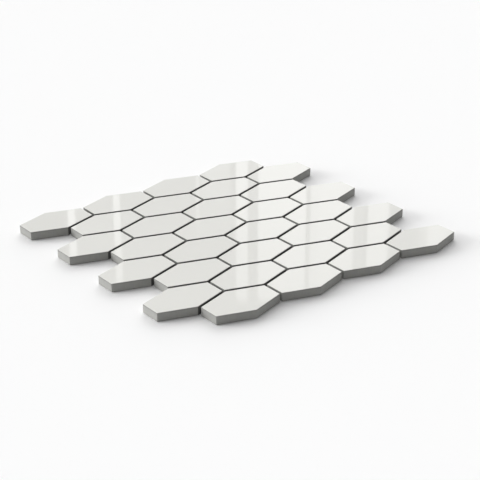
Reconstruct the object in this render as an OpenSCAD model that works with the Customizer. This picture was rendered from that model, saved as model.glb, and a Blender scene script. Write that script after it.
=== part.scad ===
// Interlocking sheet of elongated hexagon mosaic tiles, held in their pattern by an open mesh on the back.
// X runs along the tile rows, Y across them and Z up from the surface that the sheet lies on.
// The origin is the middle of the sheet's underside.

/* [Tile] */
// Width of a tile between its two flat ends
tile_w = 65; // [50:0.5:80]
// Depth of a tile between its two peaks
tile_d = 41.5; // [34:0.5:56]
// Length of each flat end
tile_end = 20.3; // [14:0.1:28]
// Thickness of a tile from its back to its glazed face
tile_t = 7.7; // [5:0.1:12]
// Radius of the glazed edge all round the face
edge_r = 0.3; // [0.2:0.1:1.2]
// Radius of the six upright corners
corner_r = 0.6; // [0.4:0.1:2]
// Chamfer left by the press all round the back
back_chamfer = 0.2; // [0.1:0.1:0.8]

/* [Keying grooves] */
// Number of ring-shaped grooves pressed into the back of a tile
grooves = 3; // [1:1:4]
// Width of a groove
groove_w = 2.2; // [1:0.1:3]
// Depth of a groove
groove_t = 0.5; // [0.2:0.1:1]
// Width of the rib between two grooves
rib_w = 1.6; // [1:0.1:2.5]
// Width of the flat rim outside the grooves
rim_w = 2.4; // [1.5:0.1:4]

/* [Sheet] */
// Number of tile rows
rows = 8; // [4:2:10]
// Number of tiles in a row
columns = 4; // [2:1:5]
// Width of the joint between neighbouring tiles
joint = 2.5; // [1:0.25:4]

/* [Backing mesh] */
// Distance from one strand to the next, both ways
mesh_pitch = 6; // [5:0.5:10]
// Width of a strand
strand_w = 1; // [0.5:0.1:1.5]
// Thickness of the mesh
mesh_t = 0.3; // [0.2:0.1:0.8]
// How far, at least, the mesh stays back from the ends of the rows
mesh_inset = 3; // [1.5:0.5:8]

/* [Hidden] */
$fn = 48;
// Angle by which the long edges slope away from the rows
slope = atan((tile_d - tile_end) / tile_w);
// Width of a tile between two opposite long edges
tile_across = tile_d * cos(slope);
pitch_x = tile_w + joint;
pitch_y = (tile_d + tile_end) / 2 + joint / cos(slope) - tan(slope) * joint / 2;
sheet_w = (columns + 0.5) * pitch_x - joint;
sheet_d = (rows - 1) * pitch_y + tile_d;
// Longer than any tile, for the bars that are cut to its outline
bar_l = 2 * (tile_w + tile_d);

tile_names = [for (r = [1:rows], c = [1:columns]) str("tile_r", r, "_c", c)];
mesh_names = [for (r = [1:rows]) str("backing_mesh_", r)];

// Middle of row r, where row 1 is the far one
function row_y(r) = ((rows + 1) / 2 - r) * pitch_y;
// Odd rows stand half a tile to the left of even rows
function tile_x(r, c) = (c - (columns + 1) / 2 + (r % 2 == 1 ? -0.25 : 0.25)) * pitch_x;

// Corners of the tile, anticlockwise from the right-hand end
tile_corners = [
    [tile_w / 2, -tile_end / 2],
    [tile_w / 2, tile_end / 2],
    [0, tile_d / 2],
    [-tile_w / 2, tile_end / 2],
    [-tile_w / 2, -tile_end / 2],
    [0, -tile_d / 2]
];

function unit(v) = v / norm(v);
// Half the angle at corner b between its neighbours a and c
function half_angle(a, b, c) = acos(unit(a - b) * unit(c - b)) / 2;

// Outline of a tile with its upright corners rounded
module tile_outline() {
    n = len(tile_corners);
    last = [for (i = [0:n - 1]) tile_corners[(i + n - 1) % n]];
    next = [for (i = [0:n - 1]) tile_corners[(i + 1) % n]];
    half = [for (i = [0:n - 1]) half_angle(last[i], tile_corners[i], next[i])];
    polygon([
        for (i = [0:n - 1], other = [last[i], next[i]])
            tile_corners[i] + corner_r / tan(half[i]) * unit(other - tile_corners[i])
    ]);
    for (i = [0:n - 1]) {
        inward = unit(unit(last[i] - tile_corners[i]) + unit(next[i] - tile_corners[i]));
        translate(tile_corners[i] + corner_r / sin(half[i]) * inward) circle(r = corner_r);
    }
}

// Section across a pair of opposite edges, w apart: rounded at the glazed face, chamfered at the back
module edge_section(w) {
    polygon([
        [-w / 2 + back_chamfer, 0],
        [w / 2 - back_chamfer, 0],
        [w / 2, back_chamfer],
        [w / 2, tile_t - edge_r],
        [w / 2 - edge_r, tile_t],
        [-w / 2 + edge_r, tile_t],
        [-w / 2, tile_t - edge_r],
        [-w / 2, back_chamfer]
    ]);
    for (side = [-1, 1])
        translate([side * (w / 2 - edge_r), tile_t - edge_r]) circle(r = edge_r);
}

// Long bar with that section, its two edges facing the direction turn and its opposite
module edge_bar(w, turn) {
    rotate([90, 0, turn]) linear_extrude(bar_l, center = true) edge_section(w);
}

// Outline of a tile with sharp corners, moved inwards by inset
module inner_outline(inset) {
    intersection() {
        square([tile_w - 2 * inset, bar_l], center = true);
        rotate(90 - slope) square([tile_across - 2 * inset, bar_l], center = true);
        rotate(90 + slope) square([tile_across - 2 * inset, bar_l], center = true);
    }
}

// Grooves that run parallel to the outline and give the adhesive a hold, cut up from z = 0
module back_grooves() {
    for (i = [0:grooves - 1]) {
        inset = rim_w + i * (groove_w + rib_w);
        linear_extrude(2 * groove_t, center = true) difference() {
            inner_outline(inset);
            inner_outline(inset + groove_w);
        }
    }
}

// One tile, its back at z = 0: what three bars have in common, one for each pair of edges, less the grooves
module tile() {
    difference() {
        intersection() {
            edge_bar(tile_w, 0);
            edge_bar(tile_across, 90 - slope);
            edge_bar(tile_across, 90 + slope);
            linear_extrude(tile_t) tile_outline();
        }
        back_grooves();
    }
}

module placed_tile(r, c) {
    color("whitesmoke") translate([tile_x(r, c), row_y(r), mesh_t]) tile();
}

// Strands cross at whole multiples of the pitch, so that every cut falls in the middle of an opening
function cut_near(v) = mesh_pitch * (round(v / mesh_pitch - 0.5) + 0.5);
function cut_below(v) = mesh_pitch * (floor(v / mesh_pitch - 0.5) + 0.5);
function cut_above(v) = -cut_below(-v);
// The mesh is cut between rows near their joint, and ends short of the valleys between the outer tiles
function mesh_top(r) = r == 1 ? cut_below(row_y(1) + tile_end / 2) : cut_near(row_y(r) + pitch_y / 2);
function mesh_bottom(r) = r == rows ? cut_above(row_y(rows) - tile_end / 2) : mesh_top(r + 1);

// Open grid of strands that fills the rectangle from (x0, y0) to (x1, y1)
module strands(x0, y0, x1, y1) {
    for (i = [ceil(x0 / mesh_pitch):floor(x1 / mesh_pitch)])
        translate([i * mesh_pitch - strand_w / 2, y0]) square([strand_w, y1 - y0]);
    for (j = [ceil(y0 / mesh_pitch):floor(y1 / mesh_pitch)])
        translate([x0, j * mesh_pitch - strand_w / 2]) square([x1 - x0, strand_w]);
}

// The part of the mesh that carries row r, with a tongue under the tile that stands out at one side
module backing_mesh(r) {
    inner = cut_below((sheet_w - pitch_x) / 2 - mesh_inset);
    outer = cut_below(sheet_w / 2 - mesh_inset);
    tongue_bottom = cut_above(row_y(r) - tile_end / 2);
    tongue_top = cut_below(row_y(r) + tile_end / 2);
    color("white") linear_extrude(mesh_t) {
        strands(-inner, mesh_bottom(r), inner, mesh_top(r));
        if (r % 2 == 1) strands(-outer, tongue_bottom, mesh_pitch / 2 - inner, tongue_top);
        if (r % 2 == 0) strands(inner - mesh_pitch / 2, tongue_bottom, outer, tongue_top);
    }
}

for (r = [1:rows], c = [1:columns])
    placed_tile(r, c);
for (r = [1:rows])
    backing_mesh(r);
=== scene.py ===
"""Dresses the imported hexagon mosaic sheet: glazed tiles, their woven backing mesh, and a studio round them.

All lengths are in metres in the sheet's own frame: X along the rows, Y across them, Z up from the floor.
"""

import math
from collections import namedtuple

import bpy
import numpy as np
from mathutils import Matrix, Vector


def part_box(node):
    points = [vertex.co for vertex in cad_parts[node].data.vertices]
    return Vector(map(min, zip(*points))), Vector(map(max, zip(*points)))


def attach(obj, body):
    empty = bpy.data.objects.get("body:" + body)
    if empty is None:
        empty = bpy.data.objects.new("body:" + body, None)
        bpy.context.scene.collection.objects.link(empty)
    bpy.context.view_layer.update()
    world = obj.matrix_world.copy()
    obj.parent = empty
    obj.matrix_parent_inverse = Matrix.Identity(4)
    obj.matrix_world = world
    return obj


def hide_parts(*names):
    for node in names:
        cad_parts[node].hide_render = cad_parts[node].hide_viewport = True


bl_info = {
    "name": "Hexagon Mosaic Sheet",
    "version": (1, 0, 0),
    "blender": (4, 5, 0),
    "location": "3D View > Sidebar > Mosaic",
    "description": "Glazed hexagon tiles on a woven backing mesh, with a pale studio",
    "category": "Object",
}

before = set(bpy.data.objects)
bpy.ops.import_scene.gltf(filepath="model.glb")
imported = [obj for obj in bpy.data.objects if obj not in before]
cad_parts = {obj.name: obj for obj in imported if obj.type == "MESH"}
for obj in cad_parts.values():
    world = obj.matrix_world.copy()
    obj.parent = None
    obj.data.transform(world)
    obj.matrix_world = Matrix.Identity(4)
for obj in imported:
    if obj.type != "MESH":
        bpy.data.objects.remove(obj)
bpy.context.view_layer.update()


def box_size(node):
    """Width, depth and height of a CAD node."""
    low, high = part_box(node)
    return high - low


TILE_SIZE = box_size("tile_r1_c1")
MESH_SIZE = box_size("backing_mesh_1")

MM = 0.001
ROWS = 8
COLUMNS = 4
SEED = 32

# Rings from the middle of a tile's face to its edge, and in its back inside the last groove, as shares of
# the ring that they lead to or come from
FACE_SHARES = (0.06, 0.2, 0.4, 0.6, 0.78, 0.92, 0.985)
BACK_SHARES = (0.6, 0.25)
# Rings round the glazed edge, and down the wall
EDGE_RINGS = 7
WALL_RINGS = 6
# The two sloping sides of a tile that face the front, among its six, anticlockwise from the right-hand end
FRONT_SLOPES = np.array([0.0, 0.0, 0.0, 0.0, 1.0, 1.0])
# Sine waves that make up a fired face, and the shortest and longest as shares of the tile's width
WAVES = 3
WAVE_LENGTHS = (0.5, 1.1)

# Between these values of the mesh's glaze mark the body gives way to the glaze
GLAZE_FROM, GLAZE_TO = 0.84, 0.97
# From this share of a tile's thickness up to its face, painted shade darkens the body
PAINTED_SHADE_FROM = 0.7
# How much the drifts of tone in the glaze change its colour and its roughness
DRIFT_SHADE = 0.02
DRIFT_ROUGHNESS = 0.01
# How much each pattern in the body, and a tile's own tone, change the body's colour
CLOUD_SHADE = 0.16
GRAIN_SHADE = 0.3
PRESS_SHADE = 0.12
TONE_SHADE = 0.01
# Heights of the body's grain, of the upright marks of the press, and of the ripple in the glaze
GRAIN_HEIGHT = 0.04 * MM
PRESS_HEIGHT = 0.03 * MM
RIPPLE_HEIGHT = 0.0002 * MM
# Width of the press's marks as a share of their height
PRESS_STRETCH = 0.08

# Corners of a yarn's section, and steps of a swaying yarn from one crossing to the next
SIDES = 6
WARP_STEPS = 4
# Yarns above each other where they cross: a warp, the weft and the other warp
LAYERS = 3
# Rounding errors that a count of whole pitches forgives
TOLERANCE = 1e-6
# A yarn's roughness, and how much its coating and filaments change its colour, roughness and surface
YARN_ROUGHNESS = 0.5
COATING_SHADE = 0.12
FILAMENT_SHADE = 0.22
YARN_UNEVENNESS = 0.2
YARN_RELIEF = 0.05 * MM
# Width of the filaments in a yarn as a share of their length
FILAMENT_STRETCH = 0.06

# Spokes and rings of the floor's disc, and the radius of its first ring
FLOOR_SPOKES = 96
FLOOR_RINGS = 12
FLOOR_START = 0.3
# How much brighter the studio is in the glaze low down, and darker high up, and the sines of the
# elevations between which that changes
SEEN_LOW = 1.2
SEEN_HIGH = 0.8
SEEN_FROM, SEEN_TO = 0.32, 0.48
# Light panels of the studio, seen in the glaze: from and to, in degrees round from the camera's heading,
# and how much brighter than the studio's walls, or darker. A panel with an upper end has two more values,
# the elevations in degrees between which it fades out
PANELS = [
    (-14.0, -8.00, -0.18),
    (-7.84, -7.51, 1.03),
    (-5.77, -5.47, 0.92),
    (-1.99, -1.86, 0.60, 23.0, 25.0),
    (-1.76, -0.45, 0.36, 20.0, 25.0),
    (-0.18, 0.36, 0.84, 26.8, 27.1),
    (0.45, 0.78, 0.20, 20.0, 25.0),
    (0.83, 3.02, 0.91, 26.75, 27.05),
    (3.02, 3.22, 0.10),
    (3.02, 3.22, 0.60, 19.5, 22.8),
    (3.22, 3.60, 0.74),
    (3.60, 5.21, 0.86),
    (5.30, 5.66, 0.15),
    (5.85, 6.80, 0.84),
    (8.20, 8.55, 0.28),
    (8.57, 9.20, 0.82),
    (9.20, 12.0, 0.70),
    (40.0, 62.0, 0.60),
    (95.0, 120.0, 0.60),
    (150.0, 170.0, 0.40),
    (-40.0, -22.0, 0.70),
    (-100.0, -70.0, 0.70),
    (-160.0, -140.0, 0.40),
]


# Shader maths

class Value:
    """A number that varies over a surface. Arithmetic on it adds Math nodes."""

    def __init__(self, graph, socket):
        self.graph = graph
        self.socket = socket

    def _math(self, operation, *operands):
        node = self.graph.node("ShaderNodeMath", {"operation": operation}, operands)
        return Value(self.graph, node.outputs[0])

    def __add__(self, other):
        return self._math("ADD", self, other)

    def __radd__(self, other):
        return self._math("ADD", other, self)

    def __sub__(self, other):
        return self._math("SUBTRACT", self, other)

    def __rsub__(self, other):
        return self._math("SUBTRACT", other, self)

    def __mul__(self, other):
        return self._math("MULTIPLY", self, other)

    def __rmul__(self, other):
        return self._math("MULTIPLY", other, self)

    def cosine(self):
        return self._math("COSINE", self)

    def step(self, low, high):
        """0 below low, 1 above high, and a smooth rise between them."""
        node = self.graph.node(
            "ShaderNodeMapRange",
            {"interpolation_type": "SMOOTHSTEP"},
            {"Value": self, "From Min": low, "From Max": high, "To Min": 0.0, "To Max": 1.0},
        )
        return Value(self.graph, node.outputs[0])


class Graph:
    """The node tree of a material or world, emptied and filled again by code."""

    def __init__(self, owner):
        owner.use_nodes = True
        self.tree = owner.node_tree
        self.tree.nodes.clear()

    def node(self, kind, settings=None, inputs=None):
        """Adds a node: first its settings, then the values or links of its sockets, by name or in order."""
        node = self.tree.nodes.new(kind)
        for name, value in (settings or {}).items():
            setattr(node, name, value)
        pairs = inputs.items() if isinstance(inputs, dict) else enumerate(inputs or ())
        for key, value in pairs:
            self._feed(node.inputs[key], value)
        return node

    def _feed(self, target, value):
        if isinstance(value, Value):
            value = value.socket
        if isinstance(value, bpy.types.NodeSocket):
            self.tree.links.new(value, target)
        else:
            target.default_value = value

    def attribute(self, name):
        """A number that the mesh carries at its points."""
        return Value(self, self.node("ShaderNodeAttribute", {"attribute_name": name}).outputs["Fac"])

    def place(self, stretch=(1.0, 1.0, 1.0)):
        """Object coordinates in metres, stretched along the axes."""
        here = self.node("ShaderNodeTexCoord").outputs["Object"]
        return self.node("ShaderNodeVectorMath", {"operation": "MULTIPLY"}, [here, stretch]).outputs[0]

    def noise(self, where, size, detail, roughness=0.5):
        """Soft noise around 0, with patches of about the given size in metres."""
        node = self.node(
            "ShaderNodeTexNoise",
            {"noise_dimensions": "3D"},
            {"Vector": where, "Scale": 1.0 / size, "Detail": detail, "Roughness": roughness},
        )
        return Value(self, node.outputs["Fac"]) - 0.5

    def mix(self, amount, first, second):
        """Colour between first and second. The sockets go by number, because colours share their names."""
        node = self.node("ShaderNodeMix", {"data_type": "RGBA"}, {0: amount, 6: first, 7: second})
        return node.outputs[2]

    def tint(self, color, brightness):
        """Colour times a number."""
        node = self.node("ShaderNodeVectorMath", {"operation": "SCALE"}, {0: color, "Scale": brightness})
        return node.outputs[0]

    def bump(self, height):
        """Normals of a surface raised by height in metres."""
        node = self.node("ShaderNodeBump", None, {"Strength": 1.0, "Distance": 1.0, "Height": height})
        return node.outputs[0]

    def surface(self, shader):
        self.node("ShaderNodeOutputMaterial", None, {"Surface": shader.outputs[0]})


# Mesh helpers

def ring_faces(rings, around):
    """Quads between neighbouring rings of a (rings, around) grid whose points are numbered row by row."""
    i = np.arange(rings - 1)[:, None]
    j = np.arange(around)[None, :]
    k = (j + 1) % around
    quads = [i * around + j, (i + 1) * around + j, (i + 1) * around + k, i * around + k]
    return np.stack(quads, axis=-1).reshape(-1, 4)


def pole_faces(pole, ring):
    """Triangles from a pole to each pair of neighbouring points of a ring, wound as the ring runs."""
    return np.stack([np.full(len(ring), pole), ring, np.roll(ring, -1)], axis=1)


def build_mesh(name, points, quads, triangles, marks, sharp_angle=35.0):
    """A mesh object from arrays of points, quads and triangles, smooth except where it bends sharply.

    The marks are numbers or vectors that its points carry for the materials, by name.
    """
    mesh = bpy.data.meshes.new(name)
    mesh.vertices.add(len(points))
    mesh.vertices.foreach_set("co", np.asarray(points, np.float32).ravel())
    corners = np.concatenate([quads.ravel(), triangles.ravel()]).astype(np.int32)
    mesh.loops.add(len(corners))
    mesh.loops.foreach_set("vertex_index", corners)
    sizes = np.concatenate([np.full(len(quads), 4), np.full(len(triangles), 3)])
    mesh.polygons.add(len(sizes))
    mesh.polygons.foreach_set("loop_start", (np.cumsum(sizes) - sizes).astype(np.int32))
    mesh.polygons.foreach_set("use_smooth", np.ones(len(sizes), bool))
    for key, values in marks.items():
        values = np.asarray(values, np.float32)
        kind, field = ("FLOAT", "value") if values.ndim == 1 else ("FLOAT_VECTOR", "vector")
        mesh.attributes.new(key, kind, "POINT").data.foreach_set(field, values.ravel())
    mesh.update(calc_edges=True)
    mesh.validate()
    mesh.set_sharp_from_angle(angle=math.radians(sharp_angle))
    made = bpy.data.objects.new(name, mesh)
    bpy.context.scene.collection.objects.link(made)
    return made


# Tiles

# A ring of a tile's surface: the tile's outline moved inwards by inset, with its corners rounded to radius,
# shrunk to a share of that size, at a height above the back, with glaze from 1 to 0
Ring = namedtuple("Ring", "inset radius share height glaze")


def tile_name(row, column):
    return f"tile_r{row}_c{column}"


def tile_outline(tile, inset, radius):
    """Outline of a tile, moved inwards by inset, with its six corners rounded to radius.

    Each corner's arc is centred where the two edges' offset lines meet. The arc turns from one edge's
    normal to the next one's, and straight runs of evenly spaced points join the arcs.
    """
    half_w, half_d, half_end = tile.width / 2, tile.depth / 2, tile.end / 2
    corners = np.array([
        (half_w, -half_end), (half_w, half_end), (0.0, half_d),
        (-half_w, half_end), (-half_w, -half_end), (0.0, -half_d),
    ])
    along = np.roll(corners, -1, axis=0) - corners
    along /= np.linalg.norm(along, axis=1, keepdims=True)
    outward = np.stack([along[:, 1], -along[:, 0]], axis=1)
    before = np.roll(outward, 1, axis=0)
    middle = before + outward
    middle /= np.linalg.norm(middle, axis=1, keepdims=True)
    reach = (inset + radius) / np.sum(middle * outward, axis=1, keepdims=True)
    centres = corners - middle * reach
    start = np.arctan2(before[:, 1], before[:, 0])
    turn = (np.arctan2(outward[:, 1], outward[:, 0]) - start) % (2 * math.pi)
    angle = start[:, None] + turn[:, None] * np.linspace(0.0, 1.0, tile.corner_points)[None, :]
    arcs = centres[:, None, :] + radius * np.stack([np.cos(angle), np.sin(angle)], axis=-1)
    share = np.linspace(0.0, 1.0, tile.edge_points + 2)[1:-1, None]
    runs = arcs[:, -1:, :] * (1 - share) + np.roll(arcs[:, :1, :], -1, axis=0) * share
    return np.concatenate([arcs, runs], axis=1).reshape(-1, 2)


def tile_profile(tile):
    """The rings that make a tile, from the middle of its face to the middle of its back.

    The face is flat up to a quarter-round edge; below it the wall is upright, a chamfer leads to the back,
    and shallow grooves with sloping sides run parallel to the outline in the back. Glaze is 1 on the face,
    falls off as the edge turns down and is 0 on the wall and back.
    """
    top, edge, corner = tile.thickness, tile.edge_radius, tile.corner_radius
    rings = [Ring(edge, corner - edge, share, top, 1.0) for share in FACE_SHARES]
    for turn in np.linspace(0.0, math.pi / 2, EDGE_RINGS):
        inset = edge * (1 - math.sin(turn))
        drop = edge * (1 - math.cos(turn))
        rings.append(Ring(inset, corner - inset, 1.0, top - drop, math.cos(turn)))
    wall = np.linspace(top - edge, tile.chamfer, WALL_RINGS)[1:]
    rings += [Ring(0.0, corner, 1.0, height, 0.0) for height in wall]
    rings.append(Ring(tile.chamfer, corner, 1.0, 0.0, 0.0))
    for groove in range(tile.grooves):
        start = tile.rim + groove * (tile.groove + tile.rib)
        end = start + tile.groove
        steps = [
            (start, 0.0), (start + tile.slope, tile.relief),
            (end - tile.slope, tile.relief), (end, 0.0),
        ]
        rings += [Ring(inset, corner, 1.0, height, 0.0) for inset, height in steps]
    last = rings[-1]
    rings += [last._replace(share=share) for share in BACK_SHARES]
    return rings


def joint_sides(row, column):
    """Which of a tile's six sides face a joint along their slope, anticlockwise from the right-hand end.

    1 for a sloping side with another tile beyond it, 0 for the flat ends and for the sides of the sheet.
    """
    shift = 0 if row % 2 else 1
    end = None
    beyond = [
        end, (row - 1, column + shift), (row - 1, column + shift - 1),
        end, (row + 1, column + shift - 1), (row + 1, column + shift),
    ]
    return np.array([
        float(place is not end and 1 <= place[0] <= ROWS and 1 <= place[1] <= COLUMNS) for place in beyond
    ])


def on_sides(tile, values):
    """A value for each point round an outline, from one for each of its six sides.

    Each corner's arc is shared out between the sides that meet there.
    """
    turns = tile.corner_points // 2
    before = np.repeat(np.roll(values, 1)[:, None], turns, axis=1)
    after = np.repeat(values[:, None], tile.corner_points - turns + tile.edge_points, axis=1)
    return np.concatenate([before, after], axis=1).ravel()


def over_tile(by_ring, round_outline, at_poles=(0.0, 0.0)):
    """A value for each point of a tile: its ring's value times that of its place in the outline.

    The values of the two poles come last.
    """
    return np.concatenate([np.outer(by_ring, round_outline).ravel(), at_poles])


def tile_waves(tile, x, y, random):
    """Height of the fired face: a sum of faint long sine waves with random direction, phase and length.

    The sum is moved and scaled to lie between the tile's waviness below the face, and the face.
    """
    direction = random.uniform(0.0, 2 * math.pi, WAVES)
    phase = random.uniform(0.0, 2 * math.pi, WAVES)
    length = tile.width * random.uniform(*WAVE_LENGTHS, WAVES)
    along = x[..., None] * np.cos(direction) + y[..., None] * np.sin(direction)
    waves = np.sin(2 * math.pi * along / length + phase).sum(axis=-1)
    return tile.waviness * (waves - WAVES) / (2 * WAVES)


def tile_object(tile, row, column, random):
    """One closed tile: the rings of its profile joined by quads, with a fan of triangles at both poles.

    Its points carry four marks: where the glaze is, which walls face a joint along a slope, the height as
    a share of the thickness, and the tile's own tone. On the two slopes that face the front the glaze mark
    is lowered where the edge starts, so the darker body shows there as painted shade.
    """
    name = tile_name(row, column)
    low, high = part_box(name)
    middle = np.array([(low.x + high.x) / 2, (low.y + high.y) / 2])
    profile = tile_profile(tile)
    rings = np.array([tile_outline(tile, ring.inset, ring.radius) * ring.share for ring in profile])
    around = rings.shape[1]
    flat = np.concatenate([rings.reshape(-1, 2), np.zeros((2, 2))])
    glaze = over_tile([ring.glaze for ring in profile], np.ones(around), (1.0, 0.0))
    poles = (profile[0].height, profile[-1].height)
    heights = over_tile([ring.height for ring in profile], np.ones(around), poles)
    heights = heights + glaze * tile_waves(tile, flat[:, 0], flat[:, 1], random)
    points = np.concatenate([flat + middle, heights[:, None] + low.z], axis=1)
    north, south = len(points) - 2, len(points) - 1
    first_ring = np.arange(around)
    last_ring = first_ring + (len(profile) - 1) * around
    triangles = np.concatenate([pole_faces(north, first_ring), pole_faces(south, last_ring)[:, [0, 2, 1]]])
    # Painted shade on the front edges: on the two front slopes the glaze mark is lowered where the edge
    # starts
    edge_starts = [float(ring.share == 1.0 and ring.glaze == 1.0) for ring in profile]
    front_edge_shaded = over_tile(edge_starts, on_sides(tile, FRONT_SLOPES))
    walls = [float(ring.inset == 0.0) for ring in profile]
    marks = {
        "glaze": glaze - tile.front_edge_painted_shade * front_edge_shaded,
        # Walls in the long joints, which the material darkens as painted shade between the tiles
        "joint": over_tile(walls, on_sides(tile, joint_sides(row, column))),
        "level": heights / tile.thickness,
        "tone": np.full(len(points), random.uniform(-1.0, 1.0)),
    }
    return build_mesh(name + "_glazed", points, ring_faces(len(profile), around), triangles, marks)


def tile_material(tile):
    """White glaze over a grey pressed body.

    The mesh's marks say where the glaze is, and which walls face a long joint. The glaze is smooth and
    nearly even, with faint drifts of tone and an almost flat ripple, and it ends where the edge starts to
    turn down. The body is dull and granular, with fine upright marks from the press on the walls. Painted
    shade darkens the body towards the face and in the long joints.
    """
    material = bpy.data.materials.new("white_glaze_on_grey_body")
    g = Graph(material)
    glaze = g.attribute("glaze").step(GLAZE_FROM, GLAZE_TO)
    tone = g.attribute("tone")
    drift = g.noise(g.place(), size=25 * MM, detail=3.0)
    ripple = g.noise(g.place(), size=4 * MM, detail=2.0)
    grain = g.noise(g.place(), size=0.6 * MM, detail=3.0, roughness=0.7)
    clouds = g.noise(g.place(), size=6 * MM, detail=3.0)
    press = g.noise(g.place(stretch=(1.0, 1.0, PRESS_STRETCH)), size=0.9 * MM, detail=2.0)
    glaze_color = g.tint(tile.glaze_color, 1.0 + drift * DRIFT_SHADE + tone * tile.tone_spread)
    # Painted shade in the long joints: the walls that face a joint along a slope are darkened
    joint_painted_darkening = 1.0 - g.attribute("joint") * tile.joint_painted_shade
    # Painted shade: the body is darkened from this height up to the face
    upper_wall_darkening = 1.0 - g.attribute("level").step(PAINTED_SHADE_FROM, 1.0) * tile.upper_wall_painted_shade
    speckle = 1.0 + clouds * CLOUD_SHADE + grain * GRAIN_SHADE + press * PRESS_SHADE + tone * TONE_SHADE
    body_color = g.tint(tile.body_color, joint_painted_darkening * upper_wall_darkening * speckle)
    smoother = tile.glaze_roughness + drift * DRIFT_ROUGHNESS - tile.body_roughness
    body_relief = (grain * GRAIN_HEIGHT + press * PRESS_HEIGHT) * (1 - glaze)
    g.surface(g.node(
        "ShaderNodeBsdfPrincipled",
        None,
        {
            "Base Color": g.mix(glaze, body_color, glaze_color),
            "Roughness": glaze * smoother + tile.body_roughness,
            "Normal": g.bump(body_relief + ripple * RIPPLE_HEIGHT * glaze),
        },
    ))
    return material


# Backing mesh

def row_middle(row):
    """Y of a tile row, read from its first tile."""
    low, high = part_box(tile_name(row, 1))
    return (low.y + high.y) / 2


def yarn_layout(net):
    """Where the yarns run, as in the CAD: (direction, number, from, to) for each yarn.

    A yarn's number is its place across, in whole mesh pitches. A tongue of the mesh reaches under the tile
    that stands out at one end of each row, and its yarns are those of the middle part carried on, with a
    few short ones across them.
    """
    pitch = net.pitch

    def cut_below(value):
        """The highest place halfway between two yarns that isn't above value."""
        return pitch * (math.floor(value / pitch - 0.5 + TOLERANCE) + 0.5)

    low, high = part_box("backing_mesh_1")
    top = high.y
    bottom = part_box(f"backing_mesh_{ROWS}")[0].y
    outer = max(-low.x, high.x)
    first_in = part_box(tile_name(2, 1))[0].x
    inner = cut_below(-first_in - net.margin)
    half_end = net.tile_end / 2
    reach_x, reach_y = math.floor(inner / pitch), math.floor(top / pitch)
    lengthwise = {j: [-inner, inner] for j in range(math.ceil(bottom / pitch), reach_y + 1)}
    crosswise = [(i, bottom, top) for i in range(-reach_x, reach_x + 1)]
    for row in range(1, ROWS + 1):
        y = row_middle(row)
        y0, y1 = -cut_below(half_end - y), cut_below(half_end + y)
        side = -1 if row % 2 else 1
        for j in range(math.ceil(y0 / pitch), math.floor(y1 / pitch) + 1):
            lengthwise[j][0 if side < 0 else 1] = side * outer
        first, last = reach_x + 1, math.floor(outer / pitch)
        crosswise += [(side * i, y0, y1) for i in range(first, last + 1)]
    return [("x", j, *span) for j, span in lengthwise.items()] + [("y", *run) for run in crosswise]


def tube(path, side, width, height):
    """A closed yarn: a flattened hexagonal section, carried along a path of points without being turned.

    The side vector and +Z span the section. It has to point so that side x Z runs against the path, which
    turns the faces outwards. Returns the points, quads, end triangles, and for each point a vector of its
    place along the yarn, its place round it and its height.
    """
    angle = np.arange(SIDES) * 2 * math.pi / SIDES
    section = np.cos(angle)[:, None] * side * width / 2
    section = section + np.sin(angle)[:, None] / np.sin(angle).max() * np.array((0.0, 0.0, height / 2))
    points = (path[:, None, :] + section[None, :, :]).reshape(-1, 3)
    fan = np.stack([np.zeros(SIDES - 2, int), np.arange(1, SIDES - 1), np.arange(2, SIDES)], axis=1)
    triangles = np.concatenate([fan, fan[:, ::-1] + (len(path) - 1) * SIDES])
    along = np.repeat(path @ np.array((1.0, 1.0, 0.0)), SIDES)
    lay = np.stack([along, np.tile(np.sin(angle) * width, len(path)), points[:, 2]], axis=1)
    return points, ring_faces(len(path), SIDES), triangles, lay


def weft(net, index, start, end):
    """A flat straight yarn along X, halfway up in the mesh, with a point at every pitch or so."""
    x = np.linspace(start, end, 2 + round((end - start) / net.pitch))
    middle = np.full(len(x), net.thickness / 2)
    path = np.stack([x, np.full(len(x), index * net.pitch), middle], axis=1)
    return tube(path, np.array((0.0, -1.0, 0.0)), net.yarn_width, net.thickness / LAYERS)


def warp(net, index, start, end, layer):
    """One of the two yarns along Y that hold the wefts between them, above (layer 1) or below (layer -1).

    It is half as wide as a weft. Its sway is a cosine, a quarter of a weft's width to either side, which
    changes sides from one weft to the next, against that of its partner.
    """
    steps = round((end - start) / (net.pitch / WARP_STEPS))
    y = np.linspace(start, end, steps + 1)
    sway = layer * np.cos(math.pi * y / net.pitch + math.pi * index) * net.yarn_width / 4
    level = np.full(len(y), net.thickness * (0.5 + layer / LAYERS))
    path = np.stack([index * net.pitch + sway, y, level], axis=1)
    return tube(path, np.array((1.0, 0.0, 0.0)), net.yarn_width / 2, net.thickness / LAYERS)


def mesh_object(net):
    """The whole backing mesh as one object, made of closed yarns."""
    yarns = []
    for direction, index, start, end in yarn_layout(net):
        if direction == "x":
            yarns.append(weft(net, index, start, end))
        else:
            yarns += [warp(net, index, start, end, 1), warp(net, index, start, end, -1)]
    counts = np.cumsum([0] + [len(points) for points, _, _, _ in yarns])
    points, quads, triangles, lay = zip(*yarns)
    return build_mesh(
        "backing_mesh_woven",
        np.concatenate(points),
        np.concatenate([q + n for q, n in zip(quads, counts)]),
        np.concatenate([t + n for t, n in zip(triangles, counts)]),
        {"lay": np.concatenate(lay)},
        sharp_angle=80.0,
    )


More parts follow.
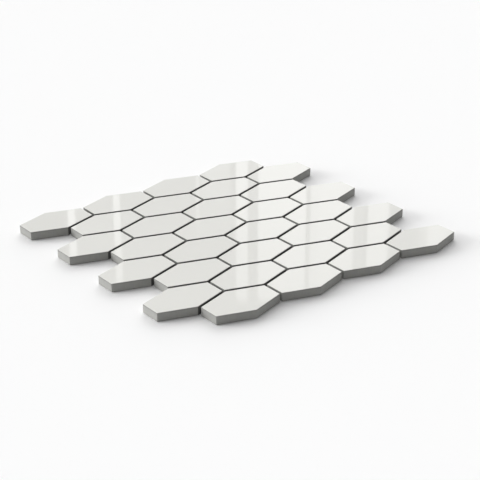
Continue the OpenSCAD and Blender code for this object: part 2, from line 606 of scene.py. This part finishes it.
def mesh_material(net):
    """White coated glass yarns: dull, with fine filaments along each yarn and a slightly uneven coating."""
    material = bpy.data.materials.new("coated_glass_yarn")
    g = Graph(material)
    lay = g.node("ShaderNodeAttribute", {"attribute_name": "lay"}).outputs["Vector"]
    stretch = (FILAMENT_STRETCH, 1.0, 1.0)
    drawn_out = g.node("ShaderNodeVectorMath", {"operation": "MULTIPLY"}, [lay, stretch]).outputs[0]
    filaments = g.noise(drawn_out, size=0.12 * MM, detail=2.0)
    coating = g.noise(g.place(), size=3 * MM, detail=3.0)
    g.surface(g.node(
        "ShaderNodeBsdfPrincipled",
        None,
        {
            "Base Color": g.tint(net.color, 1.0 + coating * COATING_SHADE + filaments * FILAMENT_SHADE),
            "Roughness": YARN_ROUGHNESS + coating * YARN_UNEVENNESS + filaments * YARN_UNEVENNESS,
            "Normal": g.bump(filaments * YARN_RELIEF + coating * YARN_RELIEF),
        },
    ))
    return material


# Stage

def floor_material(stage):
    """Plain matt white."""
    material = bpy.data.materials.new("pale_floor")
    g = Graph(material)
    white = (stage.floor_white, stage.floor_white, stage.floor_white, 1.0)
    g.surface(g.node("ShaderNodeBsdfDiffuse", None, {"Color": white}))
    return material


def floor_object(stage):
    """A level disc, its points on rings that widen from the sheet outwards."""
    radii = np.geomspace(FLOOR_START, stage.floor_radius, FLOOR_RINGS)
    spokes = np.arange(FLOOR_SPOKES)
    angle = spokes * 2 * math.pi / FLOOR_SPOKES
    ring = np.stack([np.cos(angle), np.sin(angle), np.zeros(FLOOR_SPOKES)], axis=-1)
    points = (radii[:, None, None] * ring[None]).reshape(-1, 3)
    points = np.concatenate([points, [(0.0, 0.0, 0.0)]])
    middle = pole_faces(len(points) - 1, spokes)
    made = build_mesh("floor", points, ring_faces(FLOOR_RINGS, FLOOR_SPOKES), middle, {})
    made.data.materials.append(floor_material(stage))
    return made


def panels_seen(stage, degrees, height):
    """Brightness of the light panels in each direction.

    A panel is a band of directions round the sheet with soft edges. One with an upper end fades out there
    with the sine of the elevation. The panels are added up, each times its own brightness.
    """
    edge = stage.panel_edge
    seen = 0.0
    for start, end, level, *fade in PANELS:
        inside = degrees.step(start - edge, start + edge) * (1 - degrees.step(end - edge, end + edge))
        if fade:
            inside = inside * (1 - height.step(*[math.sin(math.radians(angle)) for angle in fade]))
        seen = inside * level + seen
    return seen


def world_light(stage):
    """The studio round the sheet, one for each kind of ray.

    Glossy rays see tall panels on the studio's walls. Matt surfaces are lit by an even light and a wash
    that fades from one side to the other as a cosine, both weaker overhead. The camera sees plain white.
    """
    world = bpy.data.worlds.new("studio")
    bpy.context.scene.world = world
    g = Graph(world)
    path = g.node("ShaderNodeLightPath")
    camera_ray = Value(g, path.outputs["Is Camera Ray"])
    glossy_ray = Value(g, path.outputs["Is Glossy Ray"])
    direction = g.node("ShaderNodeTexCoord").outputs["Generated"]
    turned = g.node(
        "ShaderNodeVectorRotate",
        {"rotation_type": "Z_AXIS"},
        {"Vector": direction, "Angle": stage.heading},
    ).outputs[0]
    axes = g.node("ShaderNodeSeparateXYZ", None, [turned])
    height = Value(g, axes.outputs["Z"])
    arctangent = g.node("ShaderNodeMath", {"operation": "ARCTAN2"}, [axes.outputs["X"], axes.outputs["Y"]])
    around = Value(g, arctangent.outputs[0])
    panels = panels_seen(stage, around * math.degrees(1.0), height)
    fade = SEEN_LOW - (SEEN_LOW - SEEN_HIGH) * height.step(SEEN_FROM, SEEN_TO)
    seen = (stage.wall_seen + panels) * fade
    wash = 0.5 + 0.5 * (around + stage.heading + stage.wash_around).cosine()
    matt = (stage.even_light + stage.wash_light * wash) * (1 - stage.upper_fade * height)
    strength = glossy_ray * seen + (1 - glossy_ray) * matt
    strength = camera_ray * stage.background + (1 - camera_ray) * strength
    light = g.node("ShaderNodeBackground", None, {"Color": (1.0, 1.0, 1.0, 1.0), "Strength": strength})
    g.node("ShaderNodeOutputWorld", None, {"Surface": light.outputs[0]})


def soft_lamp(name, around, elevation, spread, strength):
    """A very broad soft lamp that lights the whole floor alike, turned by around from +Y towards -X."""
    lamp = bpy.data.lights.new(name, "SUN")
    lamp.energy = strength
    lamp.angle = spread
    made = bpy.data.objects.new(name, lamp)
    bpy.context.scene.collection.objects.link(made)
    made.location = (-math.sin(around), math.cos(around), math.tan(elevation))
    made.rotation_euler = (math.pi / 2 - elevation, 0.0, math.pi + around)
    made.visible_glossy = False


def camera_object(stage):
    """The photograph's camera: a long lens, level, looking down over the sheet's near left corner."""
    data = bpy.data.cameras.new("camera")
    data.sensor_width = 36.0
    data.lens = stage.lens
    data.clip_start, data.clip_end = 0.01, 100.0
    made = bpy.data.objects.new("camera", data)
    bpy.context.scene.collection.objects.link(made)
    made.location = stage.camera_place
    made.rotation_euler = (math.pi / 2 - stage.camera_tilt, 0.0, -stage.heading)
    bpy.context.scene.camera = made


# Settings

class MosaicTileSettings(bpy.types.PropertyGroup):
    """Sizes and finish of one tile"""

    width: bpy.props.FloatProperty(
        name="Width", description="Between the two flat ends", default=TILE_SIZE.x, unit="LENGTH"
    )
    depth: bpy.props.FloatProperty(
        name="Depth", description="Between the two peaks", default=41.5 * MM, unit="LENGTH"
    )
    end: bpy.props.FloatProperty(
        name="End", description="Length of a flat end", default=20.3 * MM, unit="LENGTH"
    )
    thickness: bpy.props.FloatProperty(
        name="Thickness", description="From the back to the glazed face", default=TILE_SIZE.z, unit="LENGTH"
    )
    corner_radius: bpy.props.FloatProperty(
        name="Corner radius", description="Of the six upright corners", default=0.6 * MM, unit="LENGTH"
    )
    edge_radius: bpy.props.FloatProperty(
        name="Edge radius", description="Of the glazed edge", default=0.3 * MM, unit="LENGTH"
    )
    chamfer: bpy.props.FloatProperty(
        name="Back chamfer", description="All round the back", default=0.2 * MM, unit="LENGTH"
    )
    grooves: bpy.props.IntProperty(name="Grooves", description="Number of grooves in the back", default=3)
    relief: bpy.props.FloatProperty(
        name="Relief", description="Depth of the grooves in the back", default=0.5 * MM, unit="LENGTH"
    )
    slope: bpy.props.FloatProperty(
        name="Slope", description="How far a groove's sides slope inwards", default=0.35 * MM, unit="LENGTH"
    )
    rim: bpy.props.FloatProperty(
        name="Rim", description="Flat rim round the back", default=2.4 * MM, unit="LENGTH"
    )
    rib: bpy.props.FloatProperty(
        name="Rib", description="Width of a rib of the back", default=1.6 * MM, unit="LENGTH"
    )
    groove: bpy.props.FloatProperty(
        name="Groove", description="Width of a groove of the back", default=2.2 * MM, unit="LENGTH"
    )
    waviness: bpy.props.FloatProperty(
        name="Waviness", description="Height of the faint waves in the fired face", default=0.004 * MM,
        unit="LENGTH",
    )
    corner_points: bpy.props.IntProperty(
        name="Corner points", description="Points round a corner", default=7
    )
    edge_points: bpy.props.IntProperty(name="Edge points", description="Points along an edge", default=9)
    glaze_color: bpy.props.FloatVectorProperty(
        name="Glaze", description="Colour of the glaze", default=(0.768, 0.765, 0.730), subtype="COLOR"
    )
    glaze_roughness: bpy.props.FloatProperty(
        name="Glaze roughness", description="Of the fired glaze", default=0.018, subtype="FACTOR"
    )
    body_color: bpy.props.FloatVectorProperty(
        name="Body", description="Colour of the pressed body", default=(0.321, 0.321, 0.306),
        subtype="COLOR",
    )
    body_roughness: bpy.props.FloatProperty(
        name="Body roughness", description="Of the pressed body", default=0.82, subtype="FACTOR"
    )
    # Painted shade: the darker body shows at the edge of the two front slopes
    front_edge_painted_shade: bpy.props.FloatProperty(
        name="Front edge painted shade", description="How much painted shade darkens the edge on the front slopes",
        default=0.25, subtype="FACTOR",
    )
    # Painted shade: darkens the upper part of the walls
    upper_wall_painted_shade: bpy.props.FloatProperty(
        name="Upper wall painted shade", description="How much darker the body is at the face", default=0.22,
        subtype="FACTOR",
    )
    # Painted shade: darkens the walls in the long joints
    joint_painted_shade: bpy.props.FloatProperty(
        name="Joint shade", description="How much darker the body is in the long joints", default=0.6,
        subtype="FACTOR",
    )
    tone_spread: bpy.props.FloatProperty(
        name="Tone spread", description="How much tiles differ in tone", default=0.006, subtype="FACTOR"
    )


class MosaicMeshSettings(bpy.types.PropertyGroup):
    """Sizes and finish of the backing mesh"""

    pitch: bpy.props.FloatProperty(
        name="Pitch", description="From yarn to yarn", default=6 * MM, unit="LENGTH"
    )
    yarn_width: bpy.props.FloatProperty(
        name="Yarn width", description="Of a flat yarn", default=1 * MM, unit="LENGTH"
    )
    thickness: bpy.props.FloatProperty(
        name="Thickness", description="Of the yarns where they cross", default=MESH_SIZE.z, unit="LENGTH"
    )
    margin: bpy.props.FloatProperty(
        name="Margin", description="From the ends of the rows to the mesh", default=3 * MM, unit="LENGTH"
    )
    tile_end: bpy.props.FloatProperty(
        name="Tile end", description="Flat end of a tile that a tongue of mesh stays behind",
        default=20.3 * MM, unit="LENGTH",
    )
    color: bpy.props.FloatVectorProperty(
        name="Colour", description="Of the coated yarns", default=(0.86, 0.86, 0.84), subtype="COLOR"
    )


class MosaicStageSettings(bpy.types.PropertyGroup):
    """Camera, lamps, floor and studio"""

    lens: bpy.props.FloatProperty(
        name="Lens", description="Focal length in millimetres", default=102.15, unit="CAMERA"
    )
    camera_place: bpy.props.FloatVectorProperty(
        name="Camera place", description="Where the camera stands", default=(-0.68608, -0.89036, 0.50619),
        subtype="TRANSLATION", unit="LENGTH",
    )
    heading: bpy.props.FloatProperty(
        name="Heading", description="Turn of the view from +Y towards +X", default=math.radians(37.806),
        subtype="ANGLE",
    )
    camera_tilt: bpy.props.FloatProperty(
        name="Tilt", description="Angle by which the camera looks down", default=math.radians(24.388),
        subtype="ANGLE",
    )
    key_around: bpy.props.FloatProperty(
        name="Key light turn", description="Turn of the lamp from +Y towards -X",
        default=math.radians(48.8), subtype="ANGLE",
    )
    key_elevation: bpy.props.FloatProperty(
        name="Key light elevation", description="Height of the lamp's middle above the floor",
        default=math.radians(10.0), subtype="ANGLE",
    )
    key_spread: bpy.props.FloatProperty(
        name="Key light spread", description="Angle that the lamp fills, seen from the sheet",
        default=math.radians(32.7), subtype="ANGLE",
    )
    key_strength: bpy.props.FloatProperty(
        name="Key light strength", description="In watts a square metre", default=2.81
    )
    back_around: bpy.props.FloatProperty(
        name="Back light turn", description="Turn of the lamp from +Y towards -X",
        default=math.radians(-38.7), subtype="ANGLE",
    )
    back_elevation: bpy.props.FloatProperty(
        name="Back light elevation", description="Height of the lamp's middle above the floor",
        default=math.radians(21.0), subtype="ANGLE",
    )
    back_spread: bpy.props.FloatProperty(
        name="Back light spread", description="Angle that the lamp fills, seen from the sheet",
        default=math.radians(40.0), subtype="ANGLE",
    )
    back_strength: bpy.props.FloatProperty(
        name="Back light strength", description="In watts a square metre", default=1.25
    )
    even_light: bpy.props.FloatProperty(
        name="Even light", description="Of the whole studio on matt surfaces", default=0.144
    )
    wash_light: bpy.props.FloatProperty(
        name="Wash", description="Light from one side of the studio, fading towards the other", default=2.4
    )
    wash_around: bpy.props.FloatProperty(
        name="Wash turn", description="Turn of the wash from +Y towards -X", default=math.radians(-3.3),
        subtype="ANGLE",
    )
    upper_fade: bpy.props.FloatProperty(
        name="Upper fade", description="How much darker the studio is overhead", default=0.67,
        subtype="FACTOR",
    )
    panel_edge: bpy.props.FloatProperty(
        name="Panel edge", description="Half width, in degrees, of a light panel's soft edge", default=0.035
    )
    wall_seen: bpy.props.FloatProperty(
        name="Wall seen", description="Brightness of the studio's walls in the glaze", default=0.45
    )
    background: bpy.props.FloatProperty(
        name="Background", description="Behind the floor's edge", default=0.965
    )
    floor_white: bpy.props.FloatProperty(
        name="Floor white", description="How light the floor's colour is", default=0.93
    )
    floor_radius: bpy.props.FloatProperty(
        name="Floor radius", description="Of the floor", default=12.0, unit="LENGTH"
    )


# Operators and panel

class MOSAIC_OT_tiles(bpy.types.Operator):
    """Replace each plain tile by a glazed one with a rounded edge and a grooved back"""

    bl_idname = "mosaic.tiles"
    bl_label = "Glazed tiles"

    def execute(self, context):
        tile = context.scene.mosaic_tile
        material = tile_material(tile)
        random = np.random.default_rng(SEED)
        for row in range(1, ROWS + 1):
            for column in range(1, COLUMNS + 1):
                made = tile_object(tile, row, column, random)
                made.data.materials.append(material)
                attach(made, "root")
                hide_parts(tile_name(row, column))
        return {"FINISHED"}


class MOSAIC_OT_mesh(bpy.types.Operator):
    """Replace the flat strips of the backing mesh by one woven mesh"""

    bl_idname = "mosaic.mesh"
    bl_label = "Backing mesh"

    def execute(self, context):
        net = context.scene.mosaic_mesh
        made = mesh_object(net)
        made.data.materials.append(mesh_material(net))
        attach(made, "root")
        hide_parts(*[f"backing_mesh_{row}" for row in range(1, ROWS + 1)])
        return {"FINISHED"}


class MOSAIC_OT_stage(bpy.types.Operator):
    """Set up the pale floor, the soft light and the camera"""

    bl_idname = "mosaic.stage"
    bl_label = "Stage"

    def execute(self, context):
        stage = context.scene.mosaic_stage
        context.scene.view_settings.view_transform = "Standard"
        camera_object(stage)
        soft_lamp("key_light", stage.key_around, stage.key_elevation, stage.key_spread, stage.key_strength)
        soft_lamp(
            "back_light", stage.back_around, stage.back_elevation, stage.back_spread, stage.back_strength
        )
        world_light(stage)
        floor_object(stage)
        return {"FINISHED"}


class MOSAIC_PT_panel(bpy.types.Panel):
    """The steps that build the mosaic sheet"""

    bl_idname = "MOSAIC_PT_panel"
    bl_label = "Mosaic sheet"
    bl_space_type = "VIEW_3D"
    bl_region_type = "UI"
    bl_category = "Mosaic"

    def draw(self, context):
        for operator in (MOSAIC_OT_stage, MOSAIC_OT_tiles, MOSAIC_OT_mesh):
            self.layout.operator(operator.bl_idname, text=operator.bl_label)


CLASSES = (
    MosaicTileSettings,
    MosaicMeshSettings,
    MosaicStageSettings,
    MOSAIC_OT_tiles,
    MOSAIC_OT_mesh,
    MOSAIC_OT_stage,
    MOSAIC_PT_panel,
)


def register():
    for cls in CLASSES:
        bpy.utils.register_class(cls)
    bpy.types.Scene.mosaic_tile = bpy.props.PointerProperty(type=MosaicTileSettings)
    bpy.types.Scene.mosaic_mesh = bpy.props.PointerProperty(type=MosaicMeshSettings)
    bpy.types.Scene.mosaic_stage = bpy.props.PointerProperty(type=MosaicStageSettings)


def unregister():
    del bpy.types.Scene.mosaic_tile
    del bpy.types.Scene.mosaic_mesh
    del bpy.types.Scene.mosaic_stage
    for cls in reversed(CLASSES):
        bpy.utils.unregister_class(cls)


def main():
    register()
    bpy.ops.mosaic.stage()
    bpy.ops.mosaic.tiles()
    bpy.ops.mosaic.mesh()


if __name__ == "__main__":
    main()
